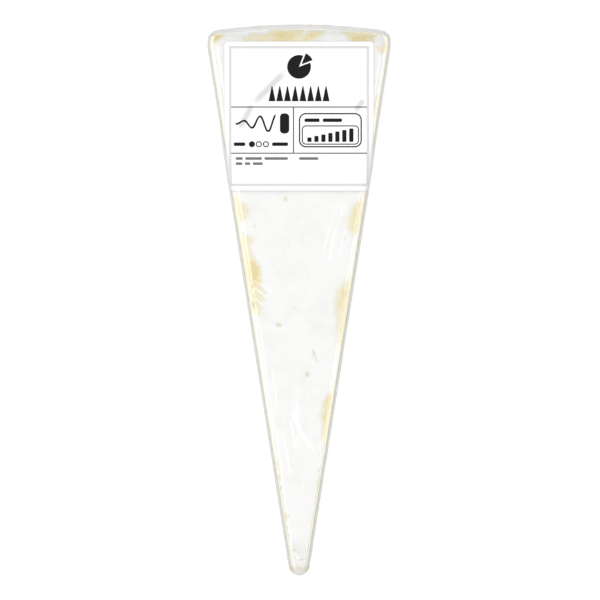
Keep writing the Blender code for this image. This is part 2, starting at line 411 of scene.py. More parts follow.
WORN_SPOTS = (
    Blot(-14.0, -1.4, 0.8, 1.0, 0, 0.75),
    Blot(6.2, -52.9, 0.5, 0.6, 0, 0.6),
    Blot(6.1, -57.0, 0.5, 2.4, 8, 0.45),
    Blot(2.9, -77.9, 0.5, 0.8, 0, 0.5),
    Blot(-9.2, -32.6, 0.35, 1.9, -8, 0.35),
    Blot(-9.0, -40.0, 0.5, 0.6, 0, 0.5),
    Blot(-7.0, -51.0, 0.5, 0.6, 0, 0.5),
    Blot(-6.4, -55.1, 0.5, 0.8, 0, 0.6),
    Blot(-5.7, -58.6, 0.5, 0.9, 0, 0.55),
    Blot(-4.0, -67.3, 0.7, 1.3, 0, 0.7),
    Blot(-3.6, -70.8, 0.5, 0.9, 0, 0.5),
    Blot(-3.3, -73.3, 0.4, 0.9, 0, 0.5),
)

RIND_MARKS = (
    Blot(-6.4, -7.7, 0.6, 1.3, -65, 1.0),
    Blot(4.6, -16.4, 0.5, 1.1, -15, 0.95),
    Blot(5.5, -18.6, 0.38, 1.6, -30, 0.75),
    Blot(2.6, -23.1, 0.65, 0.85, 10, 1.0),
    Blot(-1.3, -2.7, 0.4, 1.0, 100, 0.75),
    Blot(-4.2, -3.3, 0.28, 1.0, 80, 0.45),
    Blot(-4.2, 31.4, 0.8, 1.1, 60, 0.7),
    Blot(-2.5, 7.4, 0.28, 1.8, 105, 0.5),
    Blot(-7.4, 10.9, 0.25, 1.2, 60, 0.45),
    Blot(-13.8, 22.9, 0.7, 0.7, 0, 0.55),
    Blot(8.5, 27.2, 0.2, 2.4, 60, 0.45),
    Blot(14.2, 19.2, 0.6, 1.0, 0, 0.55),
    Blot(0.5, -56.8, 0.35, 1.3, 70, 0.5),
    Blot(-1.4, -77.6, 0.28, 1.2, 25, 0.9),
    Blot(-0.6, -79.2, 0.25, 0.9, 100, 0.8),
    Blot(1.0, -80.8, 0.28, 1.4, 105, 0.95),
)


def depth_inside(plan, corners):
    """How deep each point lies inside this outline, and below 0 how far outside."""
    inside = np.zeros(len(plan), bool)
    nearest = np.full(len(plan), np.inf)
    for start, end in zip(corners, corners[1:] + corners[:1]):
        run = np.subtract(end, start)
        away = plan - start
        share = np.clip(away @ run / (run @ run), 0, 1)
        nearest = np.minimum(nearest, np.hypot(*(away - share[:, None] * run).T))
        if run[1]:
            passed = (start[1] > plan[:, 1]) != (end[1] > plan[:, 1])
            inside ^= passed & (away[:, 0] < away[:, 1] * run[0] / run[1])
    return np.where(inside, nearest, -nearest)


def patched(points, patches):
    """The strongest of the patches at each point seen from above. Their edges wander a little."""
    wander = [0.45 * rippled(points, 2.0 * MM, seed, 2) for seed in (4.9, 11.2)]
    plan = points[:, :2] / MM + np.stack(wander, 1)
    found = np.zeros(len(points))
    for patch in patches:
        share = smooth(0.5 + depth_inside(plan, patch.corners) / (2.4 * patch.fade))
        found = np.maximum(found, patch.strength * share)
    return found


def blotted(points, blots):
    """The strongest of the blots at each point seen from above, fading out evenly at its edge."""
    found = np.zeros(len(points))
    for blot in blots:
        lean = math.radians(blot.lean)
        away = points[:, :2] / MM - (blot.x, blot.y)
        across = away[:, 0] * math.cos(lean) - away[:, 1] * math.sin(lean)
        along = away[:, 0] * math.sin(lean) + away[:, 1] * math.cos(lean)
        reach = np.hypot(across / blot.wide, along / blot.long)
        found = np.maximum(found, blot.strength * smooth(1.5 - reach))
    return found


# An opening in a cut face, in metres: its middle along the pack and up it, its half length and half height,
# how far it slopes, and its depth
Hole = namedtuple("Hole", "y z long high slope depth")
EYES = 52
SLITS = 9


def paste_holes(side):
    """Small round eyes and a few flat slits, at random places of one cut face."""
    dice = random.Random(17 + side)
    holes = []
    for _ in range(EYES):
        size = MM * dice.choice((0.5, 0.6, 0.7, 0.9, 1.2))
        y = mix(PACK_LOW.y + 12 * MM, PACK_HIGH.y - 6 * MM, dice.random() ** 0.8)
        z = dice.uniform(4 * MM, PACK_HIGH.z - 5 * MM)
        holes.append(Hole(y, z, size * dice.uniform(1, 1.6), size, dice.uniform(-0.4, 0.4), 0.7 * size))
    for _ in range(SLITS):
        y = dice.uniform(PACK_LOW.y + 25 * MM, PACK_HIGH.y - 10 * MM)
        z = dice.uniform(7 * MM, PACK_HIGH.z - 8 * MM)
        holes.append(Hole(y, z, dice.uniform(2, 4.5) * MM, 0.6 * MM, dice.uniform(-0.25, 0.25), 0.5 * MM))
    return holes


def hole_depth(points, holes):
    """How deep the holes go at each point of a cut face."""
    found = np.zeros(len(points))
    for hole in holes:
        up = points[:, 2] - hole.z - (points[:, 1] - hole.y) * hole.slope
        reach = ((points[:, 1] - hole.y) / hole.long) ** 2 + (up / hole.high) ** 2
        found = np.maximum(found, hole.depth * smooth(1.6 - 1.2 * reach))
    return found


def from_outline(points):
    """How far each point lies inside the widest place of its side, seen from above."""
    step = 1.0 * MM
    rows = np.round(points[:, 1] / step).astype(int)
    first = rows.min()
    at = np.arange(first, rows.max() + 1) * step
    found = np.zeros(len(points))
    for side in (-1, 1):
        reach = np.maximum(points[:, 0] * side, 0)
        widest = np.zeros(len(at))
        np.maximum.at(widest, rows - first, reach)
        on_side = points[:, 0] * side >= 0
        found[on_side] = (np.interp(points[:, 1], at, widest) - reach)[on_side]
    return found


def corner_depth(first, second, radius):
    """How deep points lie behind two faces that meet in a rounded edge."""
    past = np.hypot(np.maximum(radius - first, 0), np.maximum(radius - second, 0))
    return np.minimum(np.minimum(first, second), radius - past)


def cheese_mesh():
    """Shapes the cheese inside the film, and writes what its material reads."""
    settings = bpy.context.scene.brie_cheese
    piece = remeshed_pack("cheese", settings.grain)
    mesh = piece.data
    points, out = read_points(mesh), read_points(mesh, "normal")
    points = points - out * (settings.side_gap, settings.side_gap, settings.top_gap)
    share_up = points[:, 2] / PACK_HIGH.z
    points[:, 0] -= settings.bulge * 4 * share_up * (1 - share_up) * np.clip(points[:, 0] / (3 * MM), -1, 1)

    to_top = PACK_HIGH.z - settings.top_gap - points[:, 2]
    to_base = points[:, 2] - PACK_LOW.z - settings.top_gap
    distance, _ = from_wheel_centre(points)
    to_heel = WHEEL_RADIUS - distance
    ragged = 0.28 * MM * rippled(points, 5 * MM, 3.1) + 0.12 * MM * rippled(points, 1.4 * MM, 8.6)
    under_top = corner_depth(to_top, to_heel, settings.top_rounding)
    under_rind = np.minimum(under_top, corner_depth(to_base, to_heel, settings.base_rounding)) + ragged
    beside_rind = settings.bare_edge - from_outline(points) + 0.4 * ragged
    steep = (np.abs(out[:, 0]) - 0.8) * 5 * MM
    bare = np.minimum(np.maximum(beside_rind, steep), to_heel - 1.4 * MM)
    cut = smooth((np.abs(out[:, 0]) - 0.6) / 0.3) * smooth((under_rind - 0.8 * MM) / (0.9 * MM))

    lift = 0.07 * MM * rippled(points, 9 * MM, 1.7) + 0.04 * MM * rippled(points, 2.4 * MM, 5.2)
    # The knife's fine lines run along the cut face
    drag = rippled(points, (30 * MM, 30 * MM, 1.3 * MM), 4.4)
    swells = rippled(points, (22 * MM, 22 * MM, 9 * MM), 9.3)
    lift += cut * (0.07 * MM * drag + 0.2 * MM * swells)
    holes = np.zeros(len(points))
    for side in (-1, 1):
        near = cut * (points[:, 0] * side > 0)
        holes = np.maximum(holes, near * hole_depth(points, paste_holes(side)))
    lift -= holes
    faces_up = out[:, 2] > 0.4
    spots = blotted(points, WORN_SPOTS)
    dents = blotted(points, RIND_MARKS) * faces_up
    lift -= 0.1 * MM * dents
    top = smooth((out[:, 2] - 0.2) / 0.5)
    points += out * (lift - 0.06 * MM * top)[:, None]
    points[:, 2] = np.maximum(points[:, 2], PACK_LOW.z + 0.1 * MM)
    move_points(mesh, points)

    upper = smooth((points[:, 2] - 0.55 * PACK_HIGH.z) / (0.2 * PACK_HIGH.z))
    heel = smooth((distance - WHEEL_RADIUS + 3 * MM) / (2 * MM)) * smooth((to_top - 3 * MM) / (4 * MM))
    heel_patches = 0.3 + 1.1 * rippled(points, (9 * MM, 9 * MM, 6 * MM), 2.9, 2)
    worn = np.maximum(patched(points, WORN_PATCHES), blotted(points, WORN_SPOTS)) * upper
    marks = np.maximum(dents, 1.6 * spots * faces_up)
    write_field(mesh, "under_rind", under_rind / MM)
    write_field(mesh, "bare", bare / MM)
    write_field(mesh, "worn", np.maximum(worn, heel_patches * heel))
    write_field(mesh, "mark", marks)
    write_field(mesh, "hole", smooth(holes / (0.5 * MM)))
    write_field(mesh, "on_heel", smooth((points[:, 1] - HEEL_START) / (2 * MM)))
    write_field(mesh, "shaded", shade_of(points, upper, top))
    return piece


def shade_of(points, upper, top):
    """How much darker the rind is: a painted shadow under the label's bottom edge and painted shade at the
    point.
    """
    under_label = LABEL_LOW.y - points[:, 1]
    beside_label = smooth(1 - under_label / (1.8 * MM)) * (under_label > -1 * MM) * upper
    contact = smooth(1 - under_label / (0.8 * MM)) * beside_label
    from_point = points[:, 1] - PACK_LOW.y
    at_point = 0.1 * smooth(3 - from_point / (4 * MM)) + 0.12 * smooth(2.7 - from_point / (1.5 * MM))
    return 0.06 * beside_label + 0.05 * contact + at_point * top


def cheese_material():
    """White bloom with worn yellow patches outside, cream paste inside."""
    settings = bpy.context.scene.brie_cheese
    material, tree = new_material("brie_rind_and_paste")
    place = add_node(tree, "TexCoord", output=3)
    under_rind = read_field(tree, "under_rind")
    worn = read_field(tree, "worn")

    coarse = cloud(tree, place, 6 * MM, 4)
    fine = cloud(tree, place, 1.1 * MM, 4)
    mottle = coarse.rise(0.42, 0.75) * 0.5 + fine.rise(0.45, 0.8) * 0.4
    bloom = blend(tree, mottle, settings.rind, settings.rind_shade)
    flecks = cloud(tree, place, 2.4 * MM, 3, stretch=(0.8, 2.2, 1)).rise(0.52, 0.66)
    flecks = flecks * read_field(tree, "on_heel")
    uneven = worn * (1 + (fine - 0.5) * 1.3 + (coarse - 0.5) * 1.1 - flecks * 0.4)
    butter = blend(tree, uneven.rise(0.65, 1.1), settings.butter, settings.deep_butter)
    butter = blend(tree, uneven.rise(0.35, 0.7), settings.pale_butter, butter)
    rind = blend(tree, uneven.rise(0.05, 0.5), bloom, butter)

    depth = under_rind - settings.rind_thickness / MM + (fine - 0.5) * 0.9
    is_paste = read_field(tree, "bare").rise(-0.14, 0.14)
    ripe = (under_rind + (coarse - 0.5) * 5).rise(7.5, 1.5)
    paste = blend(tree, ripe, settings.paste, settings.paste_deep)
    # Painted shade deep in the holes
    paste = blend(tree, read_field(tree, "hole") * 0.55, paste, settings.hole_shade)
    low = axis_of(tree, place, 1).rise(-30 * MM, -62 * MM)
    # Cut rind, and the painted highlight on the top's bare edge band; towards the point it turns to the
    # darker low rim colour, and where worn to the worn rim colour
    cut_rind_and_edge_highlight = blend(tree, low, settings.cut_rind_and_edge_highlight, settings.low_rim)
    cut_rind_and_edge_highlight = blend(tree, worn.rise(0.1, 0.8) * 0.85, cut_rind_and_edge_highlight, settings.rim_butter_and_highlight)
    paste = blend(tree, depth.rise(0.5, -0.3), paste, cut_rind_and_edge_highlight)
    base = blend(tree, is_paste, rind, paste)
    marked = (read_field(tree, "mark") + (fine - 0.5) * 0.3).rise(0.25, 0.8) * 0.85
    base = blend(tree, marked, base, settings.blemish)
    # Painted shadow under the label's bottom edge and painted shade at the point
    base = blend(tree, read_field(tree, "shaded"), base, settings.shade)

    velvet = cloud(tree, place, 0.35 * MM, 3, roughness=0.7)
    relief = velvet * (1 - is_paste) * 0.6 + fine * 0.5 + is_paste * cloud(tree, place, 0.9 * MM, 3) * 0.4
    bump = add_node(tree, "Bump", {}, {"Height": relief, "Strength": 0.5, "Distance": 0.12 * MM})
    sockets = {
        "Base Color": base,
        "Roughness": 0.88 - is_paste * 0.38,
        "Normal": bump,
        "Subsurface Weight": 0.25,
        "Subsurface Radius": (1.0, 0.75, 0.4),
        "Subsurface Scale": 1.6 * MM,
        "Specular IOR Level": 0.35,
    }
    surface(tree, add_node(tree, "BsdfPrincipled", {}, sockets))
    return material


# The film

# A crease in the film's top, in millimetres: its two ends, how far its middle bows to the left, its height
# and its half width
Crease = namedtuple("Crease", "x0 y0 x1 y1 bow height wide")

BROAD_CREASES = (
    Crease(-12.9, -4.6, -9.5, -23.4, 0.1, 0.28, 1.0),
    Crease(-10.8, -18.8, -8.3, -35.6, 0.1, 0.26, 0.9),
    Crease(-8.3, -34.8, -4.8, -57.0, 0.4, 0.28, 1.0),
    Crease(-5.6, -36.8, -2.0, -56.4, 0.6, 0.32, 1.2),
    Crease(-1.2, -31.6, 8.8, -49.6, -1.6, 0.46, 1.7),
)

FINE_CREASES = (
    Crease(-15.8, 5.2, -9.4, 0.8, 0.3, 0.19, 0.52),
    Crease(-14.0, 6.4, -8.0, 2.0, 0.4, 0.12, 0.34),
    Crease(-14.6, 1.4, -11.0, -1.4, 0.2, 0.12, 0.36),
    Crease(15.4, 32.0, 9.0, 9.8, -0.9, 0.05, 0.22),
    Crease(13.6, 33.0, 7.6, 13.0, -0.9, 0.045, 0.2),
    Crease(12.2, 33.4, 6.8, 17.0, -0.7, 0.036, 0.18),
    Crease(16.6, 28.0, 11.6, 8.4, -0.6, 0.045, 0.2),
    Crease(14.4, 22.0, 10.2, 6.0, -0.5, 0.036, 0.18),
    Crease(-8.9, -21.0, -7.0, -33.6, 0.0, 0.14, 0.5),
    Crease(-2.2, -37.4, -0.6, -46.8, 0.1, 0.16, 0.55),
    Crease(-0.6, -30.5, -0.2, -35.6, 0.1, 0.09, 0.4),
    Crease(-2.4, -77.4, 0.4, -81.0, 0.2, 0.1, 0.35),
    Crease(-1.0, -79.0, 2.4, -80.6, 0.2, 0.09, 0.32),
    Crease(-25.2, 80.2, -22.0, 83.2, 0.2, 0.1, 0.35),
    Crease(22.0, 77.4, 26.4, 83.4, 0.4, 0.12, 0.45),
    Crease(24.6, 75.4, 27.0, 80.4, 0.2, 0.1, 0.35),
)


def crease_height(points, creases):
    """The height that these creases give the top at each point, with a taper at each end."""
    plan = points[:, :2] / MM
    found = np.zeros(len(points))
    for crease in creases:
        start, end = np.array((crease.x0, crease.y0)), np.array((crease.x1, crease.y1))
        run = end - start
        size = np.hypot(*run)
        along, left = run / size, np.array((-run[1], run[0])) / size
        away = plan - start
        share = away @ along / size
        arc = 4 * crease.bow * np.clip(share * (1 - share), 0, None)
        off = away @ left - arc
        taper = smooth(4 * np.clip(share, 0, 1) * (1 - np.clip(share, 0, 1)) * 1.4)
        found = np.maximum(found, crease.height * MM * taper * np.exp(-((off / crease.wide) ** 2)))
    return found


PLEATS = 15


def heel_pleats(points):
    """Upright pleats where the film turns round the heel. Each fades into the top and down the heel."""
    dice = random.Random(5)
    distance, angle = from_wheel_centre(points)
    arc = angle * WHEEL_RADIUS
    found = np.zeros(len(points))
    for _ in range(PLEATS):
        middle = dice.uniform(-27, 27) * MM
        lean = dice.uniform(-0.35, 0.35)
        wide = dice.uniform(0.5, 1.1) * MM
        height = dice.uniform(0.03, 0.12) * MM
        start = WHEEL_RADIUS - dice.uniform(2.0, 5.5) * MM
        reach = dice.uniform(0.35, 1.0) * PACK_HIGH.z
        off = arc - middle - lean * (PACK_HIGH.z - points[:, 2])
        ends = smooth((distance - start) / (2.5 * MM))
        ends = ends * smooth((points[:, 2] - PACK_HIGH.z + reach) / (6 * MM))
        found = np.maximum(found, height * ends * np.exp(-((off / wide) ** 2)))
    return found


def film_mesh():
    """The film: the wrapped solid's own form, with pleats, creases and slight ripples."""
    settings = bpy.context.scene.brie_film
    piece = remeshed_pack("clear_film", settings.grain)
    mesh = piece.data
    points, out = read_points(mesh), read_points(mesh, "normal")
    up = np.clip(out[:, 2], 0, 1)
    past_label = np.maximum(LABEL_LOW.y - points[:, 1], points[:, 1] - LABEL_HIGH.y)
    free = smooth(past_label / (2 * MM))
    side_free = smooth((LABEL_HIGH.z - 6 * MM - points[:, 2]) / (3 * MM))
    free = np.maximum(free, side_free)

    ripples = rippled(points, (3.2 * MM, 26 * MM, 8 * MM), 2.2)
    ripples += 0.6 * rippled(points, (7 * MM, 5 * MM, 5 * MM), 7.7)
    inside = from_outline(points)
    walls = smooth((np.abs(out[:, 0]) - 0.5) / 0.4)
    slanted = np.stack([points[:, 0], points[:, 1] + 1.2 * points[:, 2], points[:, 2] * 0.35], 1)
    wall_ripples = rippled(slanted, (30 * MM, 4.5 * MM, 6 * MM), 3.6, 2)
    lift = settings.ripple_height * ripples * free * smooth(inside / (2.5 * MM))
    lift -= 0.05 * MM * walls * smooth(0.5 + 0.9 * wall_ripples) * free
    outset = settings.outset * smooth((58 * MM - points[:, 1]) / (20 * MM))
    distance, _ = from_wheel_centre(points)
    corner = smooth((np.abs(points[:, 0]) - 18 * MM) / (8 * MM))
    outset += settings.outset * (1 + 0.5 * corner) * smooth((distance - WHEEL_RADIUS + 3 * MM) / (2 * MM))
    lift += crease_height(points, BROAD_CREASES) * up * free
    lift += heel_pleats(points) * np.clip(out[:, 2] + 1, 0, 1) * free
    slack = smooth((distance - WHEEL_RADIUS + 1.9 * MM) / (0.9 * MM))
    points += out * lift[:, None] + out * (1, 1, 0) * outset[:, None]
    points[:, 2] = np.maximum(points[:, 2], PACK_LOW.z)
    move_points(mesh, points)
    write_field(mesh, "slack", slack)
    write_field(mesh, "inside", inside / MM)
    return piece


def reach_along(tree, vector, direction):
    """How far a vector goes in this direction, seen from above."""
    return add_node(tree, "VectorMath", {"operation": "DOT_PRODUCT"}, (vector, (*direction, 0)), 1)


def ridges(tree, place, creases):
    """The height of the highest of these creases, in millimetres."""
    masks = []
    for crease in creases:
        run = Vector((crease.x1 - crease.x0, crease.y1 - crease.y0))
        ahead = run.normalized()
        start = (crease.x0 * MM, crease.y0 * MM, 0)
        away = add_node(tree, "VectorMath", {"operation": "SUBTRACT"}, (place, start))
        share = reach_along(tree, away, ahead) / (run.length * MM)
        bulge = (share * (1 - share)).math("MAXIMUM", 0)
        off = reach_along(tree, away, (-ahead.y, ahead.x)) / MM - bulge * (4 * crease.bow)
        ridge = off.math("ABSOLUTE").rise(1.6 * crease.wide, 0)
        masks.append(ridge * bulge.rise(0, 0.12) * crease.height)
    return together(masks)


def film_material():
    """Clear, glossy and thin. It greys where it is seen edge-on, gathered or slack."""
    settings = bpy.context.scene.brie_film
    material, tree = new_material("clear_film")
    place = add_node(tree, "TexCoord", output=3)
    streaks = cloud(tree, place, 1.3 * MM, 2, stretch=(1, 0.16, 0.5))
    cross = cloud(tree, place, 2.2 * MM, 2, stretch=(0.5, 1, 0.5))
    facing = add_node(tree, "LayerWeight", {}, {}, 1)
    rim = facing.rise(0.85, 0.92)
    inside = read_field(tree, "inside")
    slack = read_field(tree, "slack")
    upright = axis_of(tree, add_node(tree, "TexCoord", output=1), 2)
    on_top = upright.rise(0.05, 0.1)
    width = settings.ring_width / MM
    ring = inside.rise(width + 0.55, width + 0.2) * on_top
    along = axis_of(tree, place, 1)
    point = along.rise(PACK_LOW.y + 3.6 * MM, PACK_LOW.y + 2.4 * MM)
    creases = ridges(tree, place, FINE_CREASES) * upright.rise(0.4, 0.8)
    folds = cloud(tree, place, 11 * MM, 1, stretch=(1, 0.3, 0.8))
    wrinkles = (folds - 0.5).math("ABSOLUTE").rise(0.03, 0) * upright.rise(0.3, 0.1) * 0.14
    relief = (streaks * 0.6 + cross * 0.4) * 0.03 * (1 - ring) + creases + wrinkles * (1 - rim)
    bump = add_node(tree, "Bump", {}, {"Height": relief, "Strength": 1.0, "Distance": MM})
    gathered = (slack * 0.8).math("MAXIMUM", point * 0.8) * on_top
    grey_line = rim.math("MAXIMUM", ring) * 0.85
    haze = grey_line.math("MAXIMUM", gathered) + 0.012
    # A darker line painted on the film's ring where it meets the cheese stands in for the shadow in the gap
    tint = blend(tree, inside.rise(width - 0.3, width - 0.1), settings.edge, settings.gap_shadow_line)
    tint = blend(tree, inside.rise(width, width + 0.2), tint, settings.edge_bright)
    tint = blend(tree, slack.rise(0.1, 0.6), tint, settings.slack)
    tint = blend(tree, point, tint, settings.tip)
    tint = blend(tree, along.rise(PACK_LOW.y + 1.8 * MM, PACK_LOW.y + MM), tint, settings.edge)
    mirrored = add_node(tree, "LayerWeight", {}, {"Normal": bump}, 0) * 0.16 + upright.rise(0.4, 0) * 0.08
    gloss_share = (mirrored + 0.06) * (1 - grey_line)

    clear = add_node(tree, "BsdfTransparent", {}, {"Color": (1, 1, 1)})
    grey = add_node(tree, "BsdfDiffuse", {}, {"Color": tint})
    shiny = {"Color": (1, 1, 1), "Roughness": settings.shine, "Normal": bump}
    gloss = add_node(tree, "BsdfGlossy", {}, shiny)
    hazy = add_node(tree, "MixShader", {}, (haze, clear, grey))
    surface(tree, add_node(tree, "MixShader", {}, (gloss_share, hazy, gloss)))
    return material


# The label

# Half the width of the wedge's top at the label's bottom edge, in millimetres, and what it gains with each
# millimetre towards the heel
LABEL_TOP_HALF = 22.0
LABEL_TAPER = 0.139

# Soft folds in the label, in millimetres from its middle, as creases are given
LABEL_FOLDS = (
    Crease(-3.6, 14.6, -14.9, 3.2, 0.3, 0.2, 1.1),
    Crease(-14.2, 4.2, -19.0, -4.8, -0.3, 0.16, 1.0),
    Crease(20.4, 5.4, 17.2, 1.2, 0.1, 0.14, 0.9),
)


def film_section(tree, y, side):
    """(run, x, z) along the film's surface at this y, from the middle of the top outwards over one edge."""
    origin = Vector((0, y, PACK_HIGH.z - 10 * MM))
    hits = []
    for degrees in range(90, -31, -1):
        angle = math.radians(degrees)
        hit = tree.ray_cast(origin, Vector((side * math.cos(angle), 0, math.sin(angle))))[0]
        hits.append((abs(hit.x), hit.z))
    x, z = np.array(hits).T
    run = np.concatenate([[0], np.cumsum(np.hypot(np.diff(x), np.diff(z)))])
    return run, x, z


def place_on(section, reach):
    """(x, z) on a film section, this far from the middle of the top."""
    run, x, z = section
    return np.array((np.interp(reach, run, x), np.interp(reach, run, z)))


def label_mesh(film):
    """A grid in flat label coordinates, laid over the film row by row, with its flat place as a UV map."""
    settings = bpy.context.scene.brie_label
    tree = BVHTree.FromObject(film, bpy.context.evaluated_depsgraph_get())
    steps = round(LABEL_SIDE / settings.grain)
    half = LABEL_SIDE / 2
    corner = 1.0 * MM
    step = 0.4 * MM
    loose = 2.2 * MM
    places = np.linspace(-half, half, steps + 1)
    places[1] = -half + 0.3 * corner
    places[-2] = half - 0.3 * corner
    rows = []
    for up in places:
        y = LABEL_MIDDLE_Y + up
        sections = {side: film_section(tree, min(y, PACK_HIGH.y - MM), side) for side in (-1, 1)}
        bottom = smooth(np.array((-half + loose - up) / loose))
        row = []
        for across in places:
            past = max(abs(across) - half + corner, 0), max(abs(up) - half + corner, 0)
            pull = 1.0
            if past[0] > 0 and past[1] > 0 and math.hypot(*past) > corner:
                pull = corner / math.hypot(*past)
            flat_x = math.copysign(min(abs(across), half - corner) + past[0] * pull, across)
            flat_y = math.copysign(min(abs(up), half - corner) + past[1] * pull, up)
            side = 1 if across >= 0 else -1
            reach = abs(flat_x)
            run = place_on(sections[side], reach + step) - place_on(sections[side], max(reach - step, 0))
            tangent = run / np.linalg.norm(run)
            out = np.array((-tangent[1], tangent[0]))
            lift = settings.gap + crease_height(np.array([[flat_x, flat_y, 0]]), LABEL_FOLDS)[0]
            lift += bottom * MM * (0.03 + 0.04 * noise.noise((across / (7 * MM), 3.3, 0)))
            at = place_on(sections[side], reach) + out * lift
            row.append(((side * at[0], LABEL_MIDDLE_Y + flat_y, at[1]), (flat_x, flat_y)))
        rows.append(row)
    return rows


def label_piece(film):
    """The label's sheet, as thick as its paper."""
    settings = bpy.context.scene.brie_label
    rows = label_mesh(film)
    columns = len(rows[0])
    corners = [at for row in rows for at, _ in row]
    flats = [flat for row in rows for _, flat in row]
    faces = [
        (j * columns + i, j * columns + i + 1, (j + 1) * columns + i + 1, (j + 1) * columns + i)
        for j in range(len(rows) - 1)
        for i in range(columns - 1)
    ]
    mesh = bpy.data.meshes.new("label")
    mesh.from_pydata(corners, [], faces)
    flat_map = mesh.uv_layers.new(name="flat")
    ends = np.empty(len(mesh.loops), np.int32)
    mesh.loops.foreach_get("vertex_index", ends)
    flat_map.uv.foreach_set("vector", (np.array(flats)[ends] / LABEL_SIDE + 0.5).astype(np.float32).ravel())
    piece = new_object("label", mesh)
    sheet = piece.modifiers.new("thickness", "SOLIDIFY")
    sheet.thickness = settings.thickness
    sheet.offset = 1
    return piece


class Print:
    """Simple printed shapes in the label's flat coordinates, in millimetres from its middle."""

    def __init__(self, tree):
        self.tree = tree
        uv = add_node(tree, "UVMap", {"uv_map": "flat"})
        side = LABEL_SIDE / MM
        centred = self.vector("SUBTRACT", uv, (0.5, 0.5, 0))
        self.flat = self.vector("MULTIPLY", centred, (side, side, 0))
        self.x = axis_of(tree, self.flat, 0)
        self.y = axis_of(tree, self.flat, 1)

    def vector(self, operation, *inputs, output=0):
        return add_node(self.tree, "VectorMath", {"operation": operation}, inputs, output)

    def block(self, middle, size, corner=0.05):
        """1 inside a rectangle with rounded corners."""
        core = (size[0] / 2 - corner, size[1] / 2 - corner, 0)
        away = self.vector("ABSOLUTE", self.vector("SUBTRACT", self.flat, (*middle, 0)))
        past = self.vector("MAXIMUM", self.vector("SUBTRACT", away, core), (0, 0, 0))
        return self.vector("LENGTH", past, output=1) < corner

    def outline(self, middle, size, line, corner):
        """1 on a line of this width just inside a rounded rectangle."""
        inner = (size[0] - 2 * line, size[1] - 2 * line)
        return self.block(middle, size, corner) - self.block(middle, inner, max(corner - line, 0.02))

    def disc(self, middle, radius):
        return self.block(middle, (2 * radius, 2 * radius), radius)

    def dashes(self, left, middle_y, height, widths):
        """A row of dashes of these widths, in the place of small print."""
        masks = []
        for width in widths:
            masks.append(self.block((left + width / 2, middle_y), (width, height), 0.4 * height))
            left += width + 0.9 * height
        return together(masks)

    def bars(self, middle, size, count):
        """Upright bars that grow from left to right."""
        step = size[0] / count
        masks = []
        for number in range(count):
            height = size[1] * (0.34 + 0.66 * number / (count - 1))
            x = middle[0] + step * (number + 0.5) - size[0] / 2
            y = middle[1] - (size[1] - height) / 2
            masks.append(self.block((x, y), (0.62 * step, height), 0.3))
        return together(masks)

    def wedges(self, middle, size, count):
        """A row of pointed wedges that stand on their wide ends."""
        step = size[0] / count
        from_end = self.x - (middle[0] - size[0] / 2)
        slope = from_end.math("PINGPONG", step / 2) / (step / 2)
        height = (self.y - (middle[1] - size[1] / 2)) / size[1]
        return self.block(middle, size) * (height < slope * 1.25 - 0.12)

    def wheel(self, middle, radius):
        """A round cheese seen from above, with one wedge pulled out of it."""
        turn = math.radians(45)
        half = math.radians(24)
        pulled = 1.05
        along = Vector((math.cos(turn), math.sin(turn)))
        shifted = Vector(middle) + along * pulled

        def sector(origin, spread):
            left = Vector((-math.sin(turn + spread), math.cos(turn + spread), 0))
            right = Vector((math.sin(turn - spread), -math.cos(turn - spread), 0))
            away = self.vector("SUBTRACT", self.flat, (*origin, 0))
            inside_left = self.vector("DOT_PRODUCT", away, left, output=1) < 0
            inside_right = self.vector("DOT_PRODUCT", away, right, output=1) < 0
            return inside_left * inside_right

        cut = sector(middle, half)
        piece = sector(shifted, half) * self.disc(tuple(shifted), radius)
        return self.disc(middle, radius) * (1 - cut) + piece

    def flourish(self, middle, size, line):
        """A wavy line that grows to the right, as wide on its slopes as at its turns."""
        turn = math.tau * 2.4 / size[0]
        at = (self.x - middle[0]) * turn
        grow = ((self.x - (middle[0] - size[0] / 2)) / size[0]).rise(-0.2, 0.9) * (size[1] / 2)
        off = (self.y - middle[1] - at.math("SINE") * grow).math("ABSOLUTE")
        slope = at.math("COSINE") * grow * turn
        reach = (slope * slope + 1).math("SQRT") * line
        return self.block(middle, (size[0], size[1] + 2 * line)) * (off < reach)


def fold_shading(ink):
    """Where the label gets painted shade: 1 along each soft fold of the label, fading to both sides and at
    its ends.
    """
    found = []
    for fold in LABEL_FOLDS:
        middle = Vector(((fold.x0 + fold.x1) / 2, (fold.y0 + fold.y1) / 2, 0))
        run = Vector((fold.x1 - fold.x0, fold.y1 - fold.y0, 0))
        along = run.normalized()
        across = Vector((-along.y, along.x, 0))
        away = ink.vector("SUBTRACT", ink.flat, tuple(middle))
        off = ink.vector("DOT_PRODUCT", away, tuple(across), output=1).math("ABSOLUTE")
        ahead = ink.vector("DOT_PRODUCT", away, tuple(along), output=1).math("ABSOLUTE")
        found.append(off.rise(1.5 * fold.wide, 0.2) * ahead.rise(run.length / 2, run.length / 4))
    return together(found)


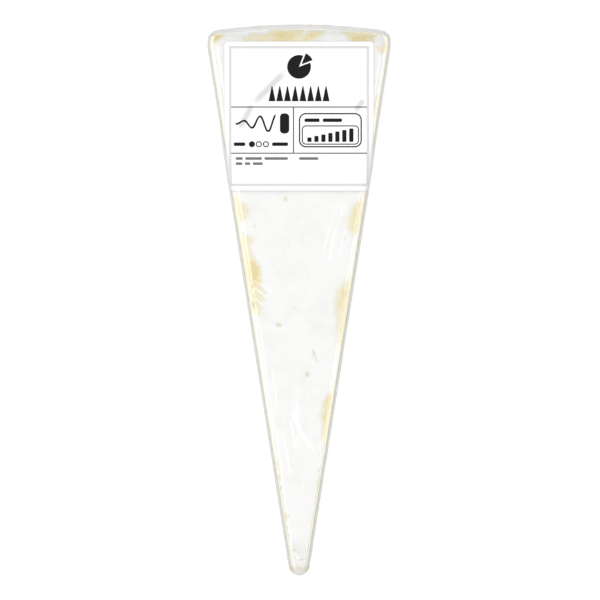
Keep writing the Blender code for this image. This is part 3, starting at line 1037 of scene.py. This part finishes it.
def label_material():
    """White coated paper with plain fields, lines and shapes."""
    settings = bpy.context.scene.brie_label
    material, tree = new_material("label_paper")
    ink = Print(tree)
    side = LABEL_SIDE / MM
    border = ink.outline((0, 0), (side - 2.9, side - 2.9), 0.8, 0.35)
    lines = together(
        [
            ink.block((0, 2.8), (42.2, 0.34)),
            ink.block((0, -11.55), (42.2, 0.34)),
            ink.block((-1.72, -4.4), (0.34, 14.4)),
        ]
    )
    small = together(
        [
            ink.dashes(-19.7, -13.2, 0.85, (2.2, 5.2, 7.3)),
            ink.dashes(-19.7, -14.8, 0.85, (2.1, 1.7, 3.1)),
            ink.dashes(0.0, -13.2, 0.85, (6.0,)),
        ]
    )
    solid = together(
        [
            ink.wheel((0, 15.3), 3.7),
            ink.wedges((0, 6.95), (19.2, 4.7), 8),
            ink.flourish((-13.5, -2.2), (12.4, 5.0), 0.3),
            ink.block((-4.5, -2.3), (2.9, 6.3), 1.2),
            ink.disc((-14.65, -8.75), 0.95),
            ink.outline((-12.5, -8.75), (1.9, 1.9), 0.34, 0.95),
            ink.outline((-10.3, -8.75), (1.9, 1.9), 0.34, 0.95),
            ink.dashes(-20.3, -8.75, 1.1, (3.6,)),
            ink.dashes(-8.4, -8.75, 1.1, (5.0,)),
            ink.outline((9.75, -4.4), (19.6, 10.7), 0.42, 2.2),
            ink.dashes(1.7, -1.3, 1.1, (4.7, 6.0)),
            ink.outline((9.75, -5.9), (17.8, 6.0), 0.34, 1.3),
            ink.bars((9.75, -5.95), (15.2, 4.2), 7),
        ]
    )
    # Painted shade where the paper turns down over the wedge's long edges
    middle_half = LABEL_TOP_HALF + LABEL_TAPER * side / 2
    past_edge = ink.x.math("ABSOLUTE") - (ink.y * LABEL_TAPER + middle_half)
    # Painted shade along the soft folds
    paper = blend(tree, fold_shading(ink), settings.paper, settings.fold_shade)
    paper = blend(tree, border, paper, settings.frame_ink)
    paper = blend(tree, past_edge.rise(-2.2, 0.3), paper, settings.turned_shade)
    paper = blend(tree, lines, paper, settings.line_ink)
    paper = blend(tree, small, paper, settings.small_ink)
    base = blend(tree, solid, paper, settings.black_ink)
    fibre = cloud(tree, add_node(tree, "TexCoord", output=3), 0.5 * MM, 3)
    bump = add_node(tree, "Bump", {}, {"Height": fibre, "Strength": 0.15, "Distance": 0.03 * MM})
    sockets = {"Base Color": base, "Roughness": 0.4, "Normal": bump, "Specular IOR Level": 0.12}
    surface(tree, add_node(tree, "BsdfPrincipled", {}, sockets))
    return material


# The stage


def softbox(name, x, z, size, power):
    """A lamp that faces the pack. The second number of its size is its length along the pack."""
    light = bpy.data.lights.new(name, "AREA")
    light.shape = "RECTANGLE"
    light.size, light.size_y = size
    light.energy = power
    lamp = new_object(name, light)
    lamp.location = (x, 0, z)
    lamp.rotation_euler = (0, math.atan2(x, z), 0)
    lamp.visible_camera = False


def room():
    """A white room that is brighter above."""
    settings = bpy.context.scene.brie_stage
    world = bpy.data.worlds.new("room")
    world.use_nodes = True
    tree = world.node_tree
    tree.nodes.clear()
    up = axis_of(tree, add_node(tree, "TexCoord"), 2)
    strength = up.math("MAXIMUM", 0) * settings.zenith + settings.horizon
    background = add_node(tree, "Background", {}, {"Color": (1, 1, 1), "Strength": strength})
    add_node(tree, "OutputWorld", {}, {"Surface": background})
    bpy.context.scene.world = world


def floor_piece():
    """A plain floor, far wider than the picture."""
    settings = bpy.context.scene.brie_stage
    reach = 12.0
    under = -0.05 * MM
    corners = [(-reach, -reach, under), (reach, -reach, under), (reach, reach, under), (-reach, reach, under)]
    mesh = bpy.data.meshes.new("floor")
    mesh.from_pydata(corners, [], [(0, 1, 2, 3)])
    piece = new_object("floor", mesh)
    material, tree = new_material("floor")
    sockets = {
        "Base Color": settings.floor,
        "Roughness": 0.9,
        "Specular IOR Level": 0.1,
        "Emission Color": (1, 1, 1),
        "Emission Strength": settings.floor_glow,
    }
    surface(tree, add_node(tree, "BsdfPrincipled", {}, sockets))
    mesh.materials.append(material)


class BRIE_OT_cheese(bpy.types.Operator):
    """Makes the cheese with its rind, inside the film"""

    bl_idname = "brie.cheese"
    bl_label = "Make the cheese"

    def execute(self, context):
        finish_piece(cheese_mesh(), cheese_material(), "wrapped_brie")
        return {"FINISHED"}


class BRIE_OT_film(bpy.types.Operator):
    """Makes the clear film round the cheese"""

    bl_idname = "brie.film"
    bl_label = "Make the film"

    def execute(self, context):
        finish_piece(film_mesh(), film_material(), "wrapped_brie")
        return {"FINISHED"}


class BRIE_OT_label(bpy.types.Operator):
    """Makes the label and lays it over the film"""

    bl_idname = "brie.label"
    bl_label = "Make the label"

    def execute(self, context):
        film = bpy.data.objects.get("clear_film")
        if film is None:
            raise RuntimeError("the label lies on the film, so the film is made first")
        finish_piece(label_piece(film), label_material(), "paper_label")
        return {"FINISHED"}


class BRIE_OT_stage(bpy.types.Operator):
    """Sets the floor, the lights and the camera"""

    bl_idname = "brie.stage"
    bl_label = "Set the stage"

    def execute(self, context):
        settings = context.scene.brie_stage
        floor_piece()
        room()
        softbox("left_softbox", -0.42, 0.9, (0.22, 1.5), 2.8)
        softbox("right_softbox", 0.46, 0.9, (0.16, 1.2), 1.1)
        softbox("low_left_strip", -0.95, 0.3, (0.12, 0.9), 0.8)
        softbox("low_right_strip", 0.95, 0.3, (0.12, 0.9), 0.8)

        lens = bpy.data.cameras.new("camera")
        lens.lens = settings.lens
        lens.sensor_width = 36
        lens.clip_end = 100
        camera = new_object("camera", lens)
        camera.location = (0.3 * MM, 0, settings.camera_height)
        context.scene.camera = camera
        context.scene.view_settings.view_transform = "Standard"
        return {"FINISHED"}


class BRIE_PT_panel(bpy.types.Panel):
    """Lists the steps and their settings"""

    bl_label = "Brie wedge"
    bl_idname = "BRIE_PT_panel"
    bl_space_type = "VIEW_3D"
    bl_region_type = "UI"
    bl_category = "Brie"

    def draw(self, context):
        for group, step in STEPS.items():
            box = self.layout.box()
            settings = getattr(context.scene, group)
            for name in settings.__annotations__:
                box.prop(settings, name)
            box.operator(step.bl_idname)


STEPS = {
    "brie_cheese": BRIE_OT_cheese,
    "brie_film": BRIE_OT_film,
    "brie_label": BRIE_OT_label,
    "brie_stage": BRIE_OT_stage,
}
SETTINGS = {
    "brie_cheese": CheeseSettings,
    "brie_film": FilmSettings,
    "brie_label": LabelSettings,
    "brie_stage": StageSettings,
}


def register():
    for made in (*SETTINGS.values(), *STEPS.values(), BRIE_PT_panel):
        bpy.utils.register_class(made)
    for name, group in SETTINGS.items():
        setattr(bpy.types.Scene, name, PointerProperty(type=group))


def unregister():
    for name in SETTINGS:
        delattr(bpy.types.Scene, name)
    for made in (BRIE_PT_panel, *STEPS.values(), *SETTINGS.values()):
        bpy.utils.unregister_class(made)


def main():
    register()
    bpy.ops.brie.cheese()
    bpy.ops.brie.film()
    bpy.ops.brie.label()
    bpy.ops.brie.stage()


if __name__ == "__main__":
    main()
